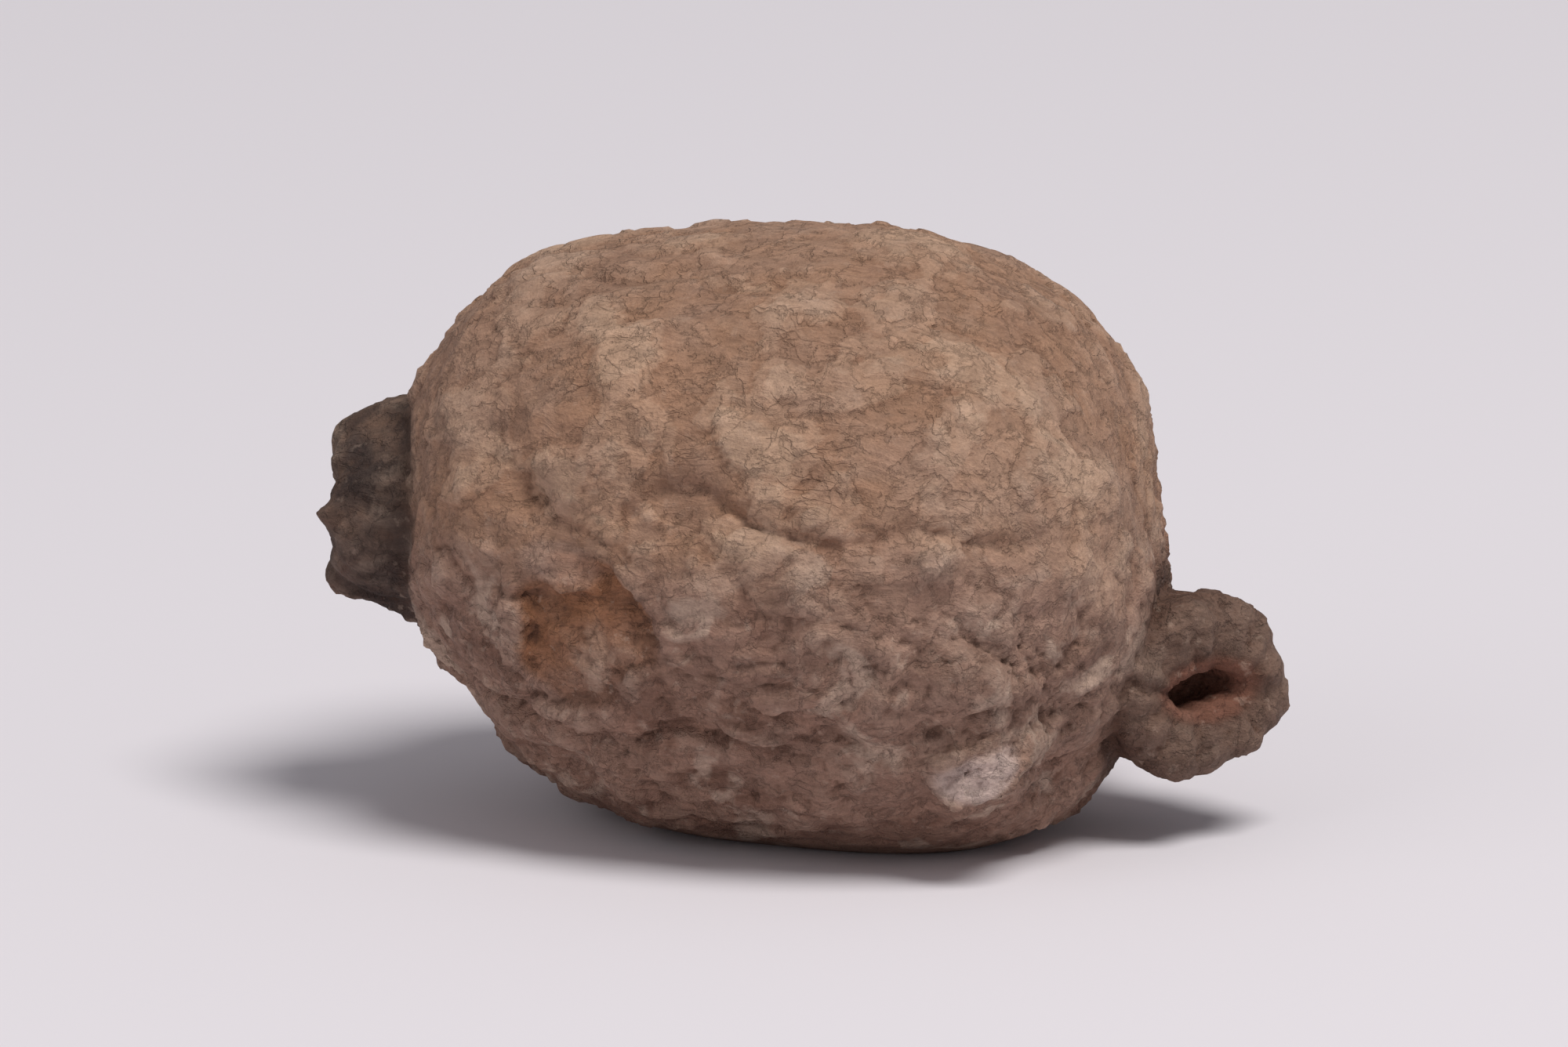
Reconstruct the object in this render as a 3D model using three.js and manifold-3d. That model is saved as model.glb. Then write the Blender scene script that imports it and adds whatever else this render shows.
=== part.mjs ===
// A dried jamun seed (Syzygium cumini), lying on its side: one oval stone in its wrinkled, dried coat, with
// the thick-lipped cup of the old calyx at one end and a ragged collar of torn skin round the stalk scar at
// the other. Millimetres, +Z up. X runs along the seed, from the stalk end (-X) to the calyx end (+X). The
// origin is on the surface that the seed rests on, under the middle of its box.
import * as THREE from "three";
import { mergeVertices } from "three/addons/utils/BufferGeometryUtils.js";
import Module from "manifold-3d";

// Driving dimensions of the body. Heights and places below are in the body's own frame, from its centre.
const HALF = new THREE.Vector3(6.95, 5.65, 5.7);
const LENGTH_POWER = 2.7; // how full the outline is lengthwise: 2 is an ellipse, more is a fuller barrel
const GIRTH_POWER = 2.15; // the same for the cross-section
const TAPER = 0.035; // how much thicker the calyx end is than the middle
const TILT = 0.7; // how far the calyx end hangs below the middle, and the stalk end rises above it
const REST_LEVEL = -5.4; // where the flat rest spot cuts the body
const REST_FADE = [0.05, 1.3]; // heights above the rest spot between which the relief fades in
const BODY_DETAIL = 21; // splits of each icosahedron edge

// Relief of the coat: the height of its waves and their spacing.
const LUMP = { height: 0.2, spacing: 4.6, salt: 11 };
const DENT = { height: 0.13, spacing: 2.3, salt: 12 };
const WARP = { height: 0.7, spacing: 2.4, salt: 21 };
const FOLDS = { height: 0.32, spacing: 2.3, stretch: 1.7, octaves: 2, fading: 0.6, salt: 31 };
const CREASE = { bluntness: 0.01, depth: 0.5 }; // the shape of a fold's creases, and how far they are sunk
const CALM = { height: 1.4, spacing: 5.5, rise: 0.33, levels: [-0.8, 0.6], least: 0.36, salt: 35 };

// The long wrinkles: each one's angle round the seed, from +Y towards +Z, the X of its ends, and its depth.
const FURROWS = [
  { angle: 2.84, start: -0.8, end: 5.4, depth: 0.2 },
  { angle: -2.62, start: -4.8, end: 1.5, depth: 0.26 },
  { angle: 1.95, start: -5.0, end: 0.5, depth: 0.16 },
  { angle: 1.3, start: -2.5, end: 5.0, depth: 0.24 },
  { angle: 0.55, start: -5.0, end: 2.0, depth: 0.3 },
  { angle: -0.1, start: -1.0, end: 5.5, depth: 0.34 },
  { angle: -0.75, start: -5.2, end: 3.0, depth: 0.3 },
  { angle: -1.9, start: -4.0, end: 4.5, depth: 0.26 },
];
const FURROW = { width: 0.28, wander: 0.16, spacing: 1.7, apart: 7, fade: 1.2, salt: 41 };

// Single hollows and swellings. Each place on the body is given as a direction from the body's centre.
const SPOTS = [
  { at: [-0.65, -0.68, 0.34], radius: 0.42, height: -0.25 },
  { at: [-0.52, -0.82, 0.25], radius: 0.4, height: -0.3 },
  { at: [-0.04, -0.95, 0.29], radius: 0.4, height: -0.2 },
  { at: [0.46, -0.83, 0.32], radius: 0.36, height: -0.2 },
  { at: [0.78, -0.62, 0.13], radius: 0.35, height: -0.3 },
  { at: [0.05, -1.0, 0.06], radius: 0.75, height: 0.16 },
  { at: [0.39, -0.92, 0.02], radius: 0.5, height: 0.14 },
  { at: [0.66, -0.73, 0.16], radius: 0.45, height: 0.18 },
  { at: [0.9, -0.43, 0.13], radius: 0.6, height: 0.15 },
  { at: [0.93, -0.22, 0.31], radius: 0.6, height: 0.15 },
  { at: [0.64, -0.7, -0.3], radius: 0.4, height: -0.3 },
  { at: [0.88, -0.4, -0.25], radius: 0.7, height: -0.45 },
  { at: [-0.46, -0.63, -0.62], radius: 0.6, height: -0.3 },
  { at: [0.4, -0.81, -0.42], radius: 0.7, height: -0.2 },
  { at: [0.1, 0.93, -0.3], radius: 0.6, height: -0.4 },
  { at: [-0.42, 0.3, 0.85], radius: 0.45, height: -0.26 },
  { at: [0.85, -0.3, -0.43], radius: 0.8, height: -0.5 },
  { at: [-0.8, -0.1, 0.6], radius: 2.8, height: -0.12 },
  { at: [0.76, 0.2, 0.6], radius: 2.6, height: 0.3 },
  { at: [-0.75, -0.45, -0.5], radius: 2.2, height: -0.3 },
];

// Patches where the outer skin has flaked off, each deepest under the ledge on the side that is named.
const FLAKED = [
  { at: [-0.36, -0.92, -0.17], size: [1.5, 1.6, 1.42], depth: 0.34, ledge: [-0.5, 0, 0.86] },
  { at: [0.35, 0.8, 0.45], size: [2.6, 2.0, 1.8], depth: 0.3, ledge: [0.9, 0, 0.4] },
  { at: [-0.5, 0.75, -0.4], size: [1.9, 1.6, 1.5], depth: 0.3, ledge: [0.3, 0, 0.95] },
];
const FLAKE_EDGE = { step: 0.26, ragged: 0.36, spacing: 1.1, shallow: 0.25, under: [-0.9, 0.5], salt: 51 };
const FLAKE_SMOOTHING = 0.7; // how much of the folds a flaked patch has lost

// The two cups. Each is turned about its own axis, then set on the body's end with its root sunk in. A
// profile runs from the root over the rim to the cup's floor, as radius and height.
const CALYX = {
  at: [7.2, 1.2, -2.5],
  towards: [0.8, -0.6, 0.03],
  profile: [
    [0, -3.0], [0.8, -2.9], [1.35, -1.9], [1.8, -0.8], [1.86, 0.1], [1.96, 0.6], [1.86, 1.0],
    [1.52, 1.22], [1.1, 1.2], [0.8, 0.98], [0.68, 0.5], [0.45, 0.1], [0, 0],
  ],
  lobes: 4,
  lobeHeight: 0.05,
  ragged: 0.12,
  squash: 0.85,
  slit: 0.55,
  salt: 61,
};
const COLLAR = {
  at: [-6.95, -0.78, 0.2],
  towards: [-0.97, -0.22, -0.04],
  profile: [
    [0, -1.5], [2.1, -1.4], [2.24, -0.6], [2.04, 0.1], [1.86, 0.7], [1.68, 1.15], [1.42, 1.42],
    [1.14, 1.4], [0.92, 1.05], [0.78, 0.72], [0.5, 0.6], [0, 0.55],
  ],
  lobes: 3,
  lobeHeight: 0.08,
  ragged: 0.24,
  squash: 1.0,
  slit: 0.8,
  salt: 71,
};
const CUP_SIDES = 22;
const CUP_RISE = [-0.2, 1.2]; // heights between which a cup's lobes and its ragged rim fade in
const CUP_MOUTH = { radius: 1.5, fade: 0.6, heights: [0.1, 0.6] };
const CUP_UNEVEN = { height: 0.1, spacing: 0.9 };
const TEAR = { cup: 1.4, chip: 2 }; // how quickly a torn outline changes round a cup and round a chip
const MID_CELL = 0.5; // noise on one or two axes is read along the middle of its lattice cells

// Chips of dried skin that stand off the coat, each sunk in along one edge and lifted at the other.
const CHIPS = [
  { at: [0.72, -0.58, -0.38], turn: 3.2, length: 1.85, width: 0.9, lift: 0.45 },
  { at: [-0.43, -0.89, 0.06], turn: 3.0, length: 1.9, width: 0.9, lift: 0.2 },
  { at: [-0.2, 0.62, 0.75], turn: 0.4, length: 2.4, width: 1.4, lift: 0.2 },
  { at: [0.1, 0.85, -0.52], turn: -0.5, length: 2.3, width: 1.1, lift: 0.35 },
  { at: [0.62, 0.66, 0.2], turn: 2.6, length: 1.7, width: 1.0, lift: 0.25 },
];
const CHIP = { thickness: 0.42, root: 0.7, rounding: 0.16, bend: 0.3, ragged: 0.36, salt: 91 };

const COAT_COLOUR = 0x8a6752;
const COAT_ROUGHNESS = 0.92;

const NOISE_GAIN = 1.6;
const smooth = THREE.MathUtils.smoothstep;

// Repeatable noise. A lattice point's number comes from its place and a salt, and never from a random draw.
function latticeNumber(x, y, z, salt) {
  let n = Math.imul(x, 0x8da6b343) ^ Math.imul(y, 0xd8163841) ^ Math.imul(z, 0xcb1ab31f);
  n ^= Math.imul(salt, 0x9e3779b1);
  n = Math.imul(n ^ (n >>> 15), 0x85ebca6b);
  n = Math.imul(n ^ (n >>> 13), 0xc2b2ae35);
  return (n ^ (n >>> 16)) >>> 0;
}

// Three numbers from 0 to 1 for a lattice point.
function latticeTriple(x, y, z, salt) {
  const n = latticeNumber(x, y, z, salt);
  return [(n & 1023) / 1023, ((n >>> 10) & 1023) / 1023, ((n >>> 20) & 1023) / 1023];
}

// Smooth gradient noise, about -1 to 1.
function noise(x, y, z, salt) {
  const [ix, iy, iz] = [Math.floor(x), Math.floor(y), Math.floor(z)];
  const [fx, fy, fz] = [x - ix, y - iy, z - iz];
  const ease = (t) => t * t * t * (t * (6 * t - 15) + 10);
  const [ux, uy, uz] = [ease(fx), ease(fy), ease(fz)];
  let sum = 0;
  for (let corner = 0; corner < 8; corner++) {
    const [cx, cy, cz] = [corner & 1, (corner >> 1) & 1, corner >> 2];
    const [gx, gy, gz] = latticeTriple(ix + cx, iy + cy, iz + cz, salt);
    const slope = (2 * gx - 1) * (fx - cx) + (2 * gy - 1) * (fy - cy) + (2 * gz - 1) * (fz - cz);
    sum += slope * (cx ? ux : 1 - ux) * (cy ? uy : 1 - uy) * (cz ? uz : 1 - uz);
  }
  return NOISE_GAIN * sum;
}

const noiseAt = (p, wave) => noise(p.x / wave.spacing, p.y / wave.spacing, p.z / wave.spacing, wave.salt);

// Noise round a closed outline, for the angle round its middle.
const tearing = (around, quickness, level, salt) =>
  noise(quickness * Math.cos(around), quickness * Math.sin(around), level, salt);

// A point moved about by noise, so that what is drawn from it wanders.
function warped(p, wave) {
  const salts = [wave.salt, wave.salt + 1, wave.salt + 2];
  const moved = salts.map((salt) => wave.height * noiseAt(p, { spacing: wave.spacing, salt }));
  return new THREE.Vector3(...moved).add(p);
}

// The smooth body in one direction: its point, and the way its surface faces there.
function bodyForm(direction) {
  const powered = (value, power) => Math.sign(value) * Math.abs(value) ** power;
  const p = direction.clone().multiply(HALF).normalize();
  const share = p.clone().divide(HALF);
  const ring = Math.abs(share.y) ** GIRTH_POWER + Math.abs(share.z) ** GIRTH_POWER;
  const whole = Math.abs(share.x) ** LENGTH_POWER + ring ** (LENGTH_POWER / GIRTH_POWER);
  p.multiplyScalar(whole ** (-1 / LENGTH_POWER));
  const around = ring ** (LENGTH_POWER / GIRTH_POWER - 1);
  const normal = new THREE.Vector3(
    powered(share.x, LENGTH_POWER - 1),
    around * powered(share.y, GIRTH_POWER - 1),
    around * powered(share.z, GIRTH_POWER - 1),
  ).divide(HALF).normalize();
  const along = p.x / HALF.x;
  const girth = 1 + TAPER * along;
  p.set(p.x, p.y * girth, p.z * girth - TILT * along * Math.abs(along));
  return [p, normal];
}

const placeOnBody = (at) => bodyForm(new THREE.Vector3(...at).divide(HALF).normalize());

// How deep the long wrinkles are at a point. Each wanders round the body a little between its two ends.
function furrowDepth(p) {
  const angle = Math.atan2(p.z, p.y);
  const radius = Math.hypot(p.y, p.z);
  let depth = 0;
  FURROWS.forEach((furrow, k) => {
    const row = FURROW.apart * k + MID_CELL;
    const shift = FURROW.wander * noise(p.x / FURROW.spacing, row, MID_CELL, FURROW.salt);
    const turn = angle - furrow.angle - shift;
    const away = radius * Math.atan2(Math.sin(turn), Math.cos(turn));
    const begun = smooth(p.x, furrow.start - FURROW.fade, furrow.start);
    const ended = smooth(p.x, furrow.end, furrow.end + FURROW.fade);
    depth += furrow.depth * begun * (1 - ended) * Math.exp(-((away / FURROW.width) ** 2));
  });
  return depth;
}

// Rounded folds with sharp creases between them, each octave half as wide as the one before.
function folded(p, wave) {
  let total = 0;
  for (let octave = 0; octave < wave.octaves; octave++) {
    const q = p.clone().multiplyScalar(2 ** octave / wave.spacing);
    const level = Math.abs(noise(q.x / wave.stretch, q.y, q.z, wave.salt + octave));
    total += wave.fading ** octave * (Math.sqrt(level + CREASE.bluntness) - CREASE.depth);
  }
  return wave.height * total;
}

// How strongly the coat is folded: less on the calm upper side, more below.
function foldedShare(p) {
  const level = CALM.height * noiseAt(p, CALM) - CALM.rise * p.z;
  return CALM.least + (1 - CALM.least) * smooth(level, ...CALM.levels);
}

// How bare of its skin a point is, from 0 to 1: most under the patch's ledge, less away from it.
function flakedShare(p, patch) {
  const [centre] = placeOnBody(patch.at);
  const away = p.clone().sub(centre).divide(new THREE.Vector3(...patch.size));
  const edge = 1 + FLAKE_EDGE.ragged * noiseAt(p, FLAKE_EDGE);
  const inside = smooth(edge - away.length(), 0, FLAKE_EDGE.step);
  const under = smooth(away.dot(new THREE.Vector3(...patch.ledge)), ...FLAKE_EDGE.under);
  return inside * (FLAKE_EDGE.shallow + (1 - FLAKE_EDGE.shallow) * under);
}

// Height of the coat over the smooth body.
function coatRelief(p) {
  const flaked = FLAKED.map((patch) => flakedShare(p, patch));
  const folds = folded(warped(p, WARP), FOLDS) * foldedShare(p);
  let height = folds * (1 - FLAKE_SMOOTHING * Math.max(...flaked)) - furrowDepth(p);
  height += LUMP.height * noiseAt(p, LUMP) + DENT.height * noiseAt(p, DENT);
  FLAKED.forEach((patch, k) => (height -= patch.depth * flaked[k]));
  for (const spot of SPOTS) {
    const [centre] = placeOnBody(spot.at);
    height += spot.height * Math.exp(-((p.distanceTo(centre) / spot.radius) ** 2));
  }
  return height * smooth(p.z - REST_LEVEL, ...REST_FADE);
}

// Closes a three.js shape's seams, so that only the shared corners are left.
function welded(geometry) {
  geometry.deleteAttribute("normal");
  geometry.deleteAttribute("uv");
  return mergeVertices(geometry, 1e-4);
}

function moveCorners(geometry, mover) {
  const corners = geometry.attributes.position;
  for (let k = 0; k < corners.count; k++) {
    const moved = mover(new THREE.Vector3().fromBufferAttribute(corners, k));
    corners.setXYZ(k, moved.x, moved.y, moved.z);
  }
  return geometry;
}

function wrinkledBody() {
  const ball = welded(new THREE.IcosahedronGeometry(1, BODY_DETAIL));
  return moveCorners(ball, (direction) => {
    const [p, normal] = bodyForm(direction);
    return p.clone().addScaledVector(normal, coatRelief(p));
  });
}

// A turned cup with a lobed, ragged rim and a mouth that has shrunk to a slit.
function endCup(cup) {
  const profile = cup.profile.map(([radius, height]) => new THREE.Vector2(radius, height));
  const turned = welded(new THREE.LatheGeometry(profile, CUP_SIDES));
  const upright = new THREE.Vector3(0, 1, 0);
  const outward = new THREE.Vector3(...cup.towards).normalize();
  const turn = new THREE.Quaternion().setFromUnitVectors(upright, outward);
  return moveCorners(turned, (p) => {
    const around = Math.atan2(p.z, p.x);
    const risen = smooth(p.y, ...CUP_RISE);
    const lobe = 1 + cup.lobeHeight * risen * Math.cos(cup.lobes * around + cup.salt);
    const torn = cup.ragged * risen * tearing(around, TEAR.cup, MID_CELL, cup.salt);
    const uneven = CUP_UNEVEN.height * noiseAt(p, { spacing: CUP_UNEVEN.spacing, salt: cup.salt + 1 });
    const inside = smooth(CUP_MOUTH.radius - Math.hypot(p.x, p.z), 0, CUP_MOUTH.fade);
    const mouth = inside * smooth(p.y, ...CUP_MOUTH.heights);
    const squash = cup.squash * (1 - (1 - cup.slit) * mouth);
    p.set(p.x * lobe, p.y * (1 + torn) + uneven, p.z * lobe * squash);
    return p.applyQuaternion(turn).add(new THREE.Vector3(...cup.at));
  });
}

// A chip of dried skin: a thin plate with a ragged outline, curled up along its free edge.
function skinChip(chip, number) {
  const [surface, normal] = placeOnBody(chip.at);
  const centre = surface.clone().addScaledVector(normal, coatRelief(surface));
  const lengthwise = new THREE.Vector3(1, 0, 0).applyAxisAngle(normal, chip.turn);
  const across = normal.clone().cross(lengthwise).normalize();
  lengthwise.crossVectors(across, normal);
  const plate = welded(new THREE.BoxGeometry(2, 2, 2, 5, 4, 1));
  return moveCorners(plate, (p) => {
    const around = Math.atan2(p.y, p.x);
    const torn = 1 + CHIP.ragged * tearing(around, TEAR.chip, number + MID_CELL, CHIP.salt);
    const narrowed = 1 - CHIP.rounding * p.x * p.x;
    const shortened = 1 - CHIP.rounding * p.y * p.y;
    const free = (p.y + 1) / 2;
    const root = p.z < 0 ? CHIP.root * (1 - free) : 0;
    const height = (CHIP.thickness * p.z) / 2 - root + chip.lift * free * free - CHIP.bend * p.x * p.x;
    return centre.clone()
      .addScaledVector(lengthwise, (p.x * shortened * torn * chip.length) / 2)
      .addScaledVector(across, (p.y * narrowed * torn * chip.width) / 2)
      .addScaledVector(normal, height);
  });
}

// What lies under the rest level, as a block to cut away.
function undersideBlock() {
  const side = 6 * HALF.x;
  const block = welded(new THREE.BoxGeometry(side, side, side));
  return block.translate(0, 0, REST_LEVEL - side / 2);
}

const wasm = await Module();
wasm.setup();

function solidOf(geometry) {
  const vertProperties = new Float32Array(geometry.attributes.position.array);
  const triVerts = new Uint32Array(geometry.index.array);
  return new wasm.Manifold(new wasm.Mesh({ numProp: 3, vertProperties, triVerts }));
}

function geometryOf(solid) {
  const mesh = solid.getMesh();
  const geometry = new THREE.BufferGeometry();
  geometry.setAttribute("position", new THREE.BufferAttribute(mesh.vertProperties, 3));
  geometry.setIndex(new THREE.BufferAttribute(mesh.triVerts, 1));
  return geometry;
}

function jamunSeed() {
  const grownOn = [endCup(CALYX), endCup(COLLAR), ...CHIPS.map(skinChip)].map(solidOf);
  const whole = grownOn.reduce((seed, piece) => seed.add(piece), solidOf(wrinkledBody()));
  const geometry = geometryOf(whole.subtract(solidOf(undersideBlock())));
  geometry.computeBoundingBox();
  const middle = geometry.boundingBox.getCenter(new THREE.Vector3());
  geometry.translate(-middle.x, -middle.y, -REST_LEVEL);
  geometry.computeVertexNormals();
  const coat = new THREE.MeshStandardMaterial({ color: COAT_COLOUR, roughness: COAT_ROUGHNESS });
  const seed = new THREE.Mesh(geometry, coat);
  seed.name = "seed";
  return seed;
}

const object = new THREE.Group();
object.add(jamunSeed());

export default object;
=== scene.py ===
# A dried jamun seed on a pale floor, seen as in the photograph. The seed is one skin. Its wrinkled body,
# two end cups and chips of dried skin are made from the same driving dimensions as the part's source, and
# fused. The skin then gets the fine wrinkles and grain that the frame's coarse solid leaves out.
import functools
import itertools
import math

import bmesh
import bpy
import numpy as np
from mathutils import Matrix, Vector


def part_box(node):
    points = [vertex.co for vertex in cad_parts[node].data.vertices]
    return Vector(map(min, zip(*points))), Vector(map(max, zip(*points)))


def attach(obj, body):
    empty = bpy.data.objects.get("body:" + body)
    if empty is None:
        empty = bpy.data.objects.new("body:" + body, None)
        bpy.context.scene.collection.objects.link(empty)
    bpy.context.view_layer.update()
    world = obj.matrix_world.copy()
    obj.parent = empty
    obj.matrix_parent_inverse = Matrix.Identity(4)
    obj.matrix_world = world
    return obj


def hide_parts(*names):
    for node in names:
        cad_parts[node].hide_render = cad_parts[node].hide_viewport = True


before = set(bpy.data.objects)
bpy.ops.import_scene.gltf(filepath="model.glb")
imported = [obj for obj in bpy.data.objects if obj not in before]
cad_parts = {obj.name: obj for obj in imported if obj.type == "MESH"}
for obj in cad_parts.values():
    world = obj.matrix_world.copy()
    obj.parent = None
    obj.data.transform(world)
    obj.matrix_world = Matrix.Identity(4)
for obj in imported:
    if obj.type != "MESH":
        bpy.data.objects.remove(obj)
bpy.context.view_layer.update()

MM = 0.001

# Noise comes from a lattice of cells. Each lattice point has its own slopes, whose bits are scattered by
# these whole numbers. On the points themselves noise is always 0, so a single row is read in mid cell.
POINT_KEYS = (0x8DA6B343, 0xD8163841, 0xCB1AB31F)
SALT_KEY = 0x9E3779B1
MIXING_STEPS = ((15, 0x85EBCA6B), (13, 0xC2B2AE35))
LAST_SHIFT = 16
WORD = 0xFFFFFFFF
SLOPE_BITS = 10
NOISE_GAIN = 1.6
MID_CELL = 0.5

# Driving dimensions of the body, in millimetres from its centre, as in the part's source.
HALF = np.array([6.95, 5.65, 5.7])
LENGTH_POWER = 2.7
GIRTH_POWER = 2.15
TAPER = 0.035
TILT = 0.7
REST_LEVEL = -5.4
REST_FADE = (0.05, 1.3)

# Relief of the coat, as in the part's source, with narrower creases and steps than its solid has room for.
# Lengths are in millimetres, a furrow's angle is round the body, a place on the coat is given by its
# direction from the body's centre, and each salt picks a noise of its own.
LUMP = {"height": 0.2, "spacing": 4.6, "salt": 11}
DENT = {"height": 0.13, "spacing": 2.3, "salt": 12}
WARP = {"height": 0.7, "spacing": 2.4, "salt": 21}
FOLDS = {"height": 0.32, "spacing": 2.3, "stretch": 1.7, "octaves": 2, "fading": 0.6, "salt": 31}
CREASE = {"bluntness": 0.01, "depth": 0.5}
CALM = {"height": 1.4, "spacing": 5.5, "rise": 0.33, "levels": (-0.8, 0.6), "least": 0.36, "salt": 35}
FURROWS = [
    {"angle": 2.84, "start": -0.8, "end": 5.4, "depth": 0.2},
    {"angle": -2.62, "start": -4.8, "end": 1.5, "depth": 0.26},
    {"angle": 1.95, "start": -5.0, "end": 0.5, "depth": 0.16},
    {"angle": 1.3, "start": -2.5, "end": 5.0, "depth": 0.24},
    {"angle": 0.55, "start": -5.0, "end": 2.0, "depth": 0.3},
    {"angle": -0.1, "start": -1.0, "end": 5.5, "depth": 0.34},
    {"angle": -0.75, "start": -5.2, "end": 3.0, "depth": 0.3},
    {"angle": -1.9, "start": -4.0, "end": 4.5, "depth": 0.26},
]
FURROW = {"width": 0.2, "wander": 0.16, "spacing": 1.7, "apart": 7, "fade": 1.2, "salt": 41}
SPOTS = [
    {"at": (-0.65, -0.68, 0.34), "radius": 0.42, "height": -0.25},
    {"at": (-0.52, -0.82, 0.25), "radius": 0.4, "height": -0.3},
    {"at": (-0.04, -0.95, 0.29), "radius": 0.4, "height": -0.2},
    {"at": (0.46, -0.83, 0.32), "radius": 0.36, "height": -0.2},
    {"at": (0.78, -0.62, 0.13), "radius": 0.35, "height": -0.3},
    {"at": (0.05, -1.0, 0.06), "radius": 0.75, "height": 0.16},
    {"at": (0.39, -0.92, 0.02), "radius": 0.5, "height": 0.14},
    {"at": (0.66, -0.73, 0.16), "radius": 0.45, "height": 0.18},
    {"at": (0.9, -0.43, 0.13), "radius": 0.6, "height": 0.15},
    {"at": (0.93, -0.22, 0.31), "radius": 0.6, "height": 0.15},
    {"at": (0.64, -0.7, -0.3), "radius": 0.4, "height": -0.3},
    {"at": (0.88, -0.4, -0.25), "radius": 0.7, "height": -0.45},
    {"at": (-0.46, -0.63, -0.62), "radius": 0.6, "height": -0.3},
    {"at": (0.4, -0.81, -0.42), "radius": 0.7, "height": -0.2},
    {"at": (0.1, 0.93, -0.3), "radius": 0.6, "height": -0.4},
    {"at": (-0.42, 0.3, 0.85), "radius": 0.45, "height": -0.26},
    {"at": (0.85, -0.3, -0.43), "radius": 0.8, "height": -0.5},
    {"at": (-0.8, -0.1, 0.6), "radius": 2.8, "height": -0.12},
    {"at": (0.76, 0.2, 0.6), "radius": 2.6, "height": 0.3},
    {"at": (-0.75, -0.45, -0.5), "radius": 2.2, "height": -0.3},
]
FLAKED = [
    {"at": (-0.36, -0.92, -0.17), "size": (1.5, 1.6, 1.42), "depth": 0.34, "ledge": (-0.5, 0, 0.86)},
    {"at": (0.35, 0.8, 0.45), "size": (2.6, 2.0, 1.8), "depth": 0.3, "ledge": (0.9, 0, 0.4)},
    {"at": (-0.5, 0.75, -0.4), "size": (1.9, 1.6, 1.5), "depth": 0.3, "ledge": (0.3, 0, 0.95)},
]
FLAKE_EDGE = {
    "step": 0.12, "ragged": 0.36, "spacing": 1.1, "shallow": 0.25, "under": (-0.9, 0.5), "salt": 51,
}
FLAKE_SMOOTHING = 0.7
CALYX = {
    "at": (7.2, 1.2, -2.5),
    "towards": (0.8, -0.6, 0.03),
    "profile": [
        (0, -3.0), (0.8, -2.9), (1.35, -1.9), (1.8, -0.8), (1.86, 0.1), (1.96, 0.6), (1.86, 1.0),
        (1.52, 1.22), (1.1, 1.2), (0.8, 0.98), (0.68, 0.5), (0.45, 0.1), (0, 0),
    ],
    "lobes": 4,
    "lobe_height": 0.05,
    "ragged": 0.12,
    "squash": 0.85,
    "slit": 0.55,
    "salt": 61,
}
COLLAR = {
    "at": (-6.95, -0.78, 0.2),
    "towards": (-0.97, -0.22, -0.04),
    "profile": [
        (0, -1.5), (2.1, -1.4), (2.24, -0.6), (2.04, 0.1), (1.86, 0.7), (1.68, 1.15), (1.42, 1.42),
        (1.14, 1.4), (0.92, 1.05), (0.78, 0.72), (0.5, 0.6), (0, 0.55),
    ],
    "lobes": 3,
    "lobe_height": 0.08,
    "ragged": 0.24,
    "squash": 1.0,
    "slit": 0.8,
    "salt": 71,
}
CUP_RISE = (-0.2, 1.2)
CUP_MOUTH = {"radius": 1.5, "fade": 0.6, "heights": (0.1, 0.6)}
CUP_UNEVEN = {"height": 0.1, "spacing": 0.9}
CUP_PLEATS = {"height": 0.08, "count": 12, "wander": 2.6, "radii": (0.4, 1.1)}
TEAR = {"cup": 1.4, "chip": 2}
CHIPS = [
    {"at": (0.72, -0.58, -0.38), "turn": 3.2, "length": 1.85, "width": 0.9, "lift": 0.45, "pale": 1.0},
    {"at": (-0.43, -0.89, 0.06), "turn": 3.0, "length": 1.9, "width": 0.9, "lift": 0.2, "pale": 0.2},
    {"at": (-0.2, 0.62, 0.75), "turn": 0.4, "length": 2.4, "width": 1.4, "lift": 0.2, "pale": 0.5},
    {"at": (0.1, 0.85, -0.52), "turn": -0.5, "length": 2.3, "width": 1.1, "lift": 0.35, "pale": 0.7},
    {"at": (0.62, 0.66, 0.2), "turn": 2.6, "length": 1.7, "width": 1.0, "lift": 0.25, "pale": 0.4},
]
CHIP = {"thickness": 0.42, "root": 0.7, "rounding": 0.16, "bend": 0.3, "ragged": 0.36, "salt": 91}

# How finely the skin is made, in millimetres where it is a length.
BALL_SPLITS = 8
CUP_SIDES = 96
CUP_ROUNDING = 6
CHIP_CUTS = 14
SKIN_VOXEL = 0.096

# Relief that only the skin has: fine wrinkles, fibres, peeling layers and crusty grains of dried pulp.
WRINKLES = {
    "height": 0.17, "spacing": 0.7, "stretch": 3.0, "octaves": 3, "fading": 0.6, "least": 0.26, "salt": 51,
}
WRINKLE_WARP = {"height": 0.5, "spacing": 1.7, "salt": 55}
FIBRES = {"height": 0.04, "spacing": 0.24, "stretch": 11.0, "salt": 58}
PEEL = {
    "spacing": 1.7, "octaves": [(1, 1), (2.1, 0.5), (4.3, 0.25)], "edges": (0.05, 0.36),
    "step": 0.025, "height": 0.06, "salt": 81,
}
ONE_LAYER = 1 / len(PEEL["edges"])
CUP_FINENESS = 0.8
CRUST = {"height": 0.045, "spacing": 0.3, "level": 0.7, "smoothing": 0.45, "salt": 84}
CRUSTY = {"spacing": 2.6, "fall": 10, "levels": (-0.1, 0.35), "salt": 88}
FINE_REST_FADE = (0.05, 0.6)

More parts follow.
